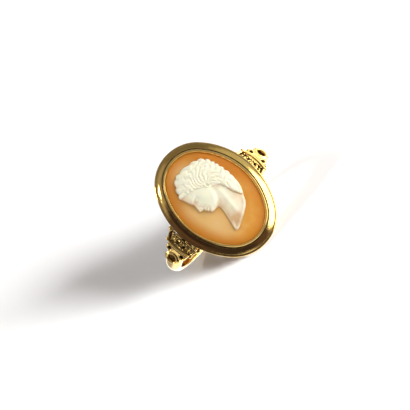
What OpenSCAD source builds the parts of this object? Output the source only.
// Cameo ring: a carved shell cameo in an oval gold setting, with pierced shoulders
// and a plain shank. It is drawn upright, with the finger hole along Y and the cameo
// facing up, and then laid on its side, as it rests on a table.

/* [Finger hole and shank] */
// Inner diameter of the ring
finger_d = 17.1; // [15.5:0.1:18]
// Thickness of the shank
shank_t = 1.15; // [1:0.05:1.3]
// Width of the shank
shank_w = 2.2; // [2:0.1:2.4]

/* [Cameo] */
// Length of the cameo, along the finger
cameo_l = 14; // [13.6:0.2:14.4]
// Width of the cameo
cameo_w = 10; // [9.8:0.2:10.2]
// Height of the ground's dome over its edge
dome_h = 0.7; // [0.5:0.05:0.9]
// Height of the cameo's edge
girdle_h = 1.13; // [1:0.01:1.3]

/* [Setting] */
// Height of the lip's crest over the centre of the finger hole
crest_z = 11.7; // [11.6:0.05:12]
// Width of the sloping band round the lip
band_w = 0.7; // [0.5:0.05:0.8]
// Drop of the band from its inner to its outer edge
band_drop = 0.62; // [0.5:0.02:0.7]
// Radius of the round wire under the band
wire_r = 0.2; // [0.16:0.01:0.24]

/* [Shoulders] */
// Radius of the shoulders' outer curve, which is flatter than the shank's
shoulder_r = 11.2; // [11:0.05:11.4]
// Radius of the large hole in each shoulder
big_hole_r = 0.55; // [0.4:0.01:0.6]
// Radius of the two small holes in each shoulder
small_hole_r = 0.24; // [0.15:0.01:0.26]
// Radius of the curved rib across each shoulder
rib_r = 0.22; // [0.16:0.01:0.26]
// Width of the scrolls' wire
scroll_w = 0.24; // [0.18:0.02:0.28]

/* [Hidden] */
$fn = 96;
gold = "gold";
shell_orange = [0.86, 0.52, 0.20];
shell_white = [0.95, 0.91, 0.84];
finger_r = finger_d / 2;
shank_r = finger_r + shank_t;
fit_gap = 0.03;
past = 20;

// The oval is four arcs that meet in line, where lines with a rise of 3 in 4 cross it
half_l = cameo_l / 2;
half_w = cameo_w / 2;
arc_step = 2.5 * (half_l - half_w);
end_c = 0.6 * arc_step;
side_c = 0.8 * arc_step;
end_r = half_l - end_c;
side_r = half_w + side_c;

// Sweeps a section of (distance outside the cameo's edge, height) round the oval
module oval_sweep() {
    for (turn = [0, 180]) rotate([0, 0, turn]) {
        translate([0, end_c, 0]) intersection() {
            rotate_extrude(angle = 180) translate([end_r, 0]) children();
            linear_extrude(height = past, center = true) polygon([[0, 0], [16, 12], [-16, 12]]);
        }
        translate([-side_c, 0, 0]) intersection() {
            rotate_extrude(angle = 180, start = -90) translate([side_r, 0]) children();
            linear_extrude(height = past, center = true) polygon([[0, 0], [16, -12], [16, 12]]);
        }
    }
}

// The oval's area, grown by a distance
module oval_area(grow) {
    joint_y = end_c + 0.6 * (end_r + grow);
    intersection() {
        translate([-side_c, 0]) circle(r = side_r + grow);
        translate([side_c, 0]) circle(r = side_r + grow);
        square([4 * half_w, 2 * joint_y], center = true);
    }
    for (end = [-1, 1]) translate([0, end * end_c]) circle(r = end_r + grow);
}

// Heights of the setting, down from the lip's crest
lip_r = 0.12;
lip_over = 0.2;
lip_c = [0.02, -lip_r];
lip_foot = 0.35;
band_in = 0.33;
band_out = band_in + band_w;
band_z = -0.33;
edge_z = band_z - band_drop;
wire_c = [band_out + 0.07, edge_z - 0.35];
girdle_z = -0.35;
seat_z = girdle_z - girdle_h - fit_gap / 2;
ledge_w = 0.75;
ledge_t = 0.35;
cup_out = 0.2;
cup_in = -0.35;
cup_z = -4.3;

// Section of the setting: lip, groove, sloping band, round wire and tapered cup
module setting_section() {
    inside = -1.2;
    polygon([
        [-lip_over, girdle_z + 0.095],
        [-lip_over, -0.19],
        [-0.06, -0.03],
        [0.1, -0.03],
        [0.13, -lip_r],
        [0.2, -lip_foot],
        [0.28, -lip_foot - 0.03],
        [band_in, band_z],
        [band_out, edge_z],
        [band_out, edge_z - 0.14],
        [band_out - 0.05, edge_z - 0.2],
        [band_out - 0.05, wire_c[1] - 0.15],
        [cup_out, cup_z],
        [inside, cup_z],
        [inside, seat_z],
        [fit_gap, seat_z],
        [fit_gap, girdle_z + 0.02],
    ]);
    translate(lip_c) circle(r = lip_r);
    translate(wire_c) circle(r = wire_r);
}

module setting() {
    translate([0, 0, crest_z]) oval_sweep() setting_section();
}

// Half-round shank
shank_bulge_r = 1.25;
module shank() {
    rotate([90, 0, 0]) rotate_extrude() intersection() {
        translate([shank_r - shank_bulge_r, 0]) circle(r = shank_bulge_r);
        translate([finger_r - 0.2, -shank_w / 2]) square([shank_t + 1, shank_w]);
    }
}

// The shoulders' curve has its centre under the finger hole's, so that it passes
// the gallery's top at the setting and stands proud of the shank at the far end
shoulder_angle = 44;
gallery_top = [6, 8];
shoulder_cz = gallery_top[1] - sqrt(pow(shoulder_r, 2) - pow(gallery_top[0], 2));

// Places on a shoulder's tangent plane: u away from the cameo, worked out from the
// distance across the ring, and v along the finger
function along(x) = shoulder_r * sin(asin(x / shoulder_r) - shoulder_angle);
function top_w(u) = sqrt(shoulder_r * shoulder_r - u * u);
big_hole_u = along(8.85);
end_lobe_r = 1.1;
small_hole_u = along(8.05);
small_hole_v = 0.98;
side_lobe_r = 0.6;
rib_u = along(7.6);
rib_arc_r = 4.3;
rib_half_v = 1.8;
gallery_in_u = along(4.4);
gallery_half_v = 2.35;
window_in_u = along(6.15);
window_out_u = along(7.25);
window_half_v = 1.9;
window_mid_u = (window_in_u + window_out_u) / 2;

// Outline of one shoulder, with the window for the scrolls
module shoulder_outline() {
    difference() {
        union() {
            polygon([
                [gallery_in_u, -gallery_half_v], [window_in_u, -gallery_half_v], [rib_u, -rib_half_v],
                [rib_u, rib_half_v], [window_in_u, gallery_half_v], [gallery_in_u, gallery_half_v],
            ]);
            polygon([
                [rib_u - 0.4, -1.5], [small_hole_u, -1.4], [big_hole_u, -0.8 * end_lobe_r],
                [big_hole_u, 0.8 * end_lobe_r], [small_hole_u, 1.4], [rib_u - 0.4, 1.5],
            ]);
            for (side = [-1, 1]) translate([small_hole_u, side * small_hole_v]) circle(r = side_lobe_r);
            translate([big_hole_u, 0]) circle(r = end_lobe_r);
        }
        polygon([
            [window_in_u, -window_half_v], [window_out_u, -window_half_v + 0.35],
            [window_out_u, window_half_v - 0.35], [window_in_u, window_half_v],
        ]);
    }
}

// One wire of the scrollwork, between two places
module scroll_bar(a, b) {
    d = b - a;
    translate(a) rotate(atan2(d[1], d[0])) translate([0, -scroll_w / 2]) square([norm(d), scroll_w]);
}

module scroll_ring(place, r) {
    translate(place) difference() {
        circle(r = r + scroll_w / 2);
        circle(r = r - scroll_w / 2);
    }
}

// Scrolls in the window: a rosette in the middle, a ring on each side of it and bars between
rosette_r = 0.42;
eye_r = 0.28;
eye_v = 1.38;
module scrolls() {
    middle = [window_mid_u, 0];
    scroll_ring(middle, rosette_r);
    scroll_bar([window_in_u - 0.1, 0], middle - [rosette_r, 0]);
    scroll_bar(middle + [rosette_r, 0], [window_out_u + 0.1, 0]);
    for (side = [-1, 1]) {
        eye = [window_mid_u - 0.05, side * eye_v];
        scroll_ring(eye, eye_r);
        scroll_bar(middle + [0, side * rosette_r], eye - [0, side * eye_r]);
        scroll_bar(eye + [0, side * eye_r], [window_mid_u - 0.05, side * (window_half_v + 0.1)]);
        scroll_bar(eye + [eye_r, 0], [window_out_u + 0.1, side * (eye_v - 0.2)]);
        scroll_bar(eye - [eye_r, 0], [window_in_u - 0.1, side * (eye_v - 0.1)]);
    }
}

// A round bead on the shoulder's face
module bead(u, v, r) {
    translate([u, v, top_w(u) - 0.1]) sphere(r = r);
}

// Curved rib between the scrolls and the pierced end, with a bead at each tip
module rib() {
    half_angle = asin(rib_half_v / rib_arc_r);
    tip_u = rib_u - rib_arc_r * (1 - cos(half_angle));
    translate([rib_u - rib_arc_r, 0, top_w(rib_u) - 0.04]) rotate([0, 0, -half_angle])
        rotate_extrude(angle = 2 * half_angle) translate([rib_arc_r, 0]) circle(r = rib_r);
    for (side = [-1, 1]) translate([tip_u, side * rib_half_v, top_w(rib_u) - 0.04]) sphere(r = rib_r + 0.05);
}

// A shoulder's own axes, with w out from its curve's centre
module on_shoulder() {
    translate([0, 0, shoulder_cz]) rotate([0, shoulder_angle, 0]) children();
}

module under_curve(drop) {
    intersection() {
        translate([0, 0, shoulder_cz]) rotate([90, 0, 0])
            cylinder(r = shoulder_r - drop, h = past, center = true);
        on_shoulder() translate([0, 0, shoulder_r / 2]) linear_extrude(height = past) children();
    }
}

// One shoulder, on the side where X is positive
scroll_drop = 0.12;
module shoulder() {
    under_curve(0) shoulder_outline();
    under_curve(scroll_drop) scrolls();
    on_shoulder() {
        rib();
        bead(window_mid_u, 0, 0.3);
        for (side = [-1, 1]) bead(window_in_u - 0.05, side * (gallery_half_v - 0.15), 0.32);
    }
}

// Holes through the end of a shoulder and the shank under it
module shoulder_holes() {
    on_shoulder() translate([0, 0, shoulder_r / 2]) {
        translate([big_hole_u, 0, 0]) cylinder(r = big_hole_r, h = past);
        for (side = [-1, 1]) translate([small_hole_u, side * small_hole_v, 0])
            cylinder(r = small_hole_r, h = past);
    }
}

// Opening behind the cameo, from the middle of the finger hole up to a height
module back_opening(top_z, grow) {
    linear_extrude(height = top_z) oval_area(grow);
}

// Shank, shoulders and setting, soldered into one piece
module gold_mount() {
    color(gold) difference() {
        union() {
            shank();
            shoulder();
            mirror([1, 0, 0]) shoulder();
            setting();
        }
        rotate([90, 0, 0]) cylinder(r = finger_r, h = 2 * past, center = true);
        shoulder_holes();
        mirror([1, 0, 0]) shoulder_holes();
        back_opening(crest_z + seat_z - ledge_t, cup_in);
        back_opening(crest_z + seat_z + 0.2, -ledge_w);
    }
}

// The ground is a plate whose top is part of an ellipsoid
dome_k = 1.5;
dome_c = dome_h / (1 - sqrt(1 - 1 / (dome_k * dome_k)));
dome_z = girdle_z + dome_h;
module cameo_ground() {
    color(shell_orange) translate([0, 0, crest_z]) intersection() {
        translate([0, 0, seat_z + fit_gap / 2]) linear_extrude(height = past) oval_area(0);
        translate([0, 0, dome_z - dome_c]) scale([dome_k * half_w, dome_k * half_l, dome_c]) sphere(r = 1);
    }
}

// Height of the ground's face over a place, from the lip's crest
function ground_z(p) =
    dome_z - dome_c * (1 - sqrt(1 - (pow(p[0] / half_w, 2) + pow(p[1] / half_l, 2)) / pow(dome_k, 2)));

// The head lies in its own plane: u from the face to the back of the head, v from the
// chin to the crown. It looks down by head_tilt, and chin is the place of u = 0, v = 0.
head_tilt = 20;
chin = [-1.6, -1.1];
function placed(u, v) = [
    chin[0] + u * cos(head_tilt) - v * sin(head_tilt),
    chin[1] + u * sin(head_tilt) + v * cos(head_tilt),
];

// Rows across the head and bust: v, then u at the front and at the back
head_rows = [
    [5.85, 2.15, 2.75], [5.7, 1.62, 3.1], [5.4, 1.15, 3.65], [5.1, 0.8, 4.4], [4.7, 0.35, 5.0],
    [4.4, 0.15, 5.35], [4.15, 0.2, 5.6], [3.7, 0.06, 5.88], [3.2, 0, 6.02], [2.9, -0.02, 6.05],
    [2.62, 0.05, 6.03], [2.2, -0.2, 5.98], [1.85, -0.42, 5.92], [1.62, -0.56, 5.86], [1.5, -0.5, 5.82],
    [1.39, -0.2, 5.8], [1.3, -0.08, 5.78], [1.18, -0.12, 5.76], [1.08, -0.19, 5.74], [0.99, -0.15, 5.72],
    [0.93, -0.04, 5.7], [0.86, -0.12, 5.68], [0.76, -0.15, 5.65], [0.66, -0.06, 5.62], [0.56, 0.03, 5.6],
    [0.4, 0, 5.55], [0.22, 0, 5.5], [0.08, 0.1, 5.45], [0, 0.3, 5.42], [-0.12, 0.75, 5.38],
    [-0.3, 1.15, 5.32], [-0.6, 1.38, 5.2], [-1.0, 1.22, 5.0], [-1.4, 0.85, 4.72], [-1.75, 0.45, 4.48],
    [-2.0, 0.18, 4.05], [-2.1, 0.08, 3.3], [-2.4, -0.28, 3.16], [-2.7, -0.62, 3.0], [-2.95, -0.92, 2.86],
    [-3.08, -1.02, 2.6], [-3.2, -1.06, 1.5], [-3.4, -0.98, 0.45], [-3.54, -0.8, -0.3],
];
ribbon_rows = [[-1.7, 3.5, 3.9], [-2.3, 3.38, 3.8], [-2.9, 3.3, 3.74], [-3.3, 3.38, 3.8], [-3.75, 3.62, 3.72]];

// Edges that split the face from the hair and the jaw from the neck
hair_edge = [[-2, 3.3], [-1.5, 3.4], [0.5, 3.4], [1.4, 3.0], [2.2, 2.5], [2.9, 2.0], [3.6, 1.2], [4.15, 0.2]];
jaw_edge = [[0.3, -0.1], [1.6, 0.15], [2.4, 0.7], [2.7, 1.6]];
function soft_step(x, w) = 1 / (1 + exp(-4 * x / w));
function bump(u, v, at, size) = exp(-pow((u - at[0]) / size[0], 2) - pow((v - at[1]) / size[1], 2));

// Soft forms of the face: place, size and height, in mm
features = [
    [[2.4, 1.6], [1.7, 1.6], 0.1],
    [[0.4, 2.86], [0.4, 0.14], 0.06],
    [[0.5, 2.58], [0.34, 0.24], -0.12],
    [[0.6, 2.55], [0.2, 0.12], 0.1],
    [[-0.1, 1.55], [0.18, 0.14], 0.09],
    [[0.05, 1.1], [0.25, 0.08], 0.06],
    [[0.2, 0.94], [0.26, 0.05], -0.06],
    [[0.05, 0.79], [0.24, 0.09], 0.06],
    [[0.35, 0.25], [0.36, 0.26], 0.07],
    [[2.45, 2.1], [0.24, 0.42], 0.14],
    [[2.5, 2.1], [0.1, 0.24], -0.1],
];
body_h = 0.42;
rim_h = 0.08;
hair_h = 0.16;
lock_h = 0.05;
function lock_wave(u, v) = sin(330 * norm([u - 3.1, v - 2.6]) + 3 * atan2(v - 2.6, u - 3.1));
function carved_h(u, v) = body_h
    + sum_of([for (f = features) f[2] * bump(u, v, f[0], f[1])])
    + (hair_h + lock_h * lock_wave(u, v)) * soft_step(u - lookup(v, hair_edge), 0.3)
    - 0.14 * soft_step(lookup(u, jaw_edge) - v, 0.25);
function sum_of(list) = list * [for (item = list) 1];

// A relief from its rows, each cut into steps and crossed by points from front to back
across = 34;
function row_at(rows, i, part) = rows[i] + (rows[i + 1] - rows[i]) * part;
function fine_rows(rows, steps) = [
    for (i = [0:len(rows) - 2]) for (k = [0:steps - 1]) row_at(rows, i, k / steps),
    rows[len(rows) - 1],
];
function spread(t) = t - 0.11 * sin(360 * t);
function edge_fall(t, v, top, bottom) =
    sqrt((1 - pow(abs(2 * t - 1), 7)) * min(1, (top - v) / 0.25) * min(1, (v - bottom) / 0.2));
module relief(rows, steps, across) {
    lines = fine_rows(rows, steps);
    n = len(lines);
    m = across + 1;
    top = rows[0][0];
    bottom = rows[len(rows) - 1][0];
    faces_up = [for (i = [0:n - 2]) for (j = [0:across - 1])
        let (a = i * m + j) each [[a, a + 1, a + m + 1], [a, a + m + 1, a + m]]];
    places = [for (row = lines) for (j = [0:across])
        let (t = spread(j / across)) [row[1] + (row[2] - row[1]) * t, row[0], t]];
    upper = [for (q = places) let (p = placed(q[0], q[1])) [p[0], p[1],
        ground_z(p) + rim_h + carved_h(q[0], q[1]) * edge_fall(q[2], q[1], top, bottom)]];
    lower = [for (q = places) let (p = placed(q[0], q[1])) [p[0], p[1], ground_z(p) + fit_gap]];
    rim = concat([for (j = [0:across]) j], [for (i = [1:n - 1]) i * m + across],
        [for (j = [across - 1:-1:0]) (n - 1) * m + j], [for (i = [n - 2:-1:1]) i * m]);
    size = n * m;
    polyhedron(concat(upper, lower), concat(
        faces_up,
        [for (f = faces_up) [f[2] + size, f[1] + size, f[0] + size]],
        [for (k = [0:len(rim) - 1]) let (a = rim[k], b = rim[(k + 1) % len(rim)])
            each [[a, a + size, b + size], [a, b + size, b]]]));
}

module cameo_head() {
    color(shell_white) translate([0, 0, crest_z]) {
        relief(head_rows, 1, across);
        relief(ribbon_rows, 2, 5);
    }
}

// The ring laid on its side: its axis leans until the setting's wire and the shank's back edge touch the table
contact_y = [-(half_l + wire_c[0]), -shank_w / 2];
contact_z = [crest_z + wire_c[1],
    -(shank_r - shank_bulge_r + sqrt(pow(shank_bulge_r, 2) - pow(shank_w / 2, 2)))];
lean_base = [contact_z[0] - contact_z[1], contact_y[1] - contact_y[0]];
lean = atan2(lean_base[1], lean_base[0]) + asin(wire_r / norm(lean_base));
floor_z = contact_y[1] * cos(lean) + contact_z[1] * sin(lean);
front_y = -(crest_z + lip_c[1]) * cos(lean) - (half_l + lip_c[0]) * sin(lean) - lip_r;
back_y = (shank_r - shank_bulge_r) * cos(lean) + shank_bulge_r;
module laid_down() {
    translate([0, -(front_y + back_y) / 2, -floor_z]) rotate([90 - lean, 0, 0]) children();
}

laid_down() gold_mount();
laid_down() cameo_ground();
laid_down() cameo_head();
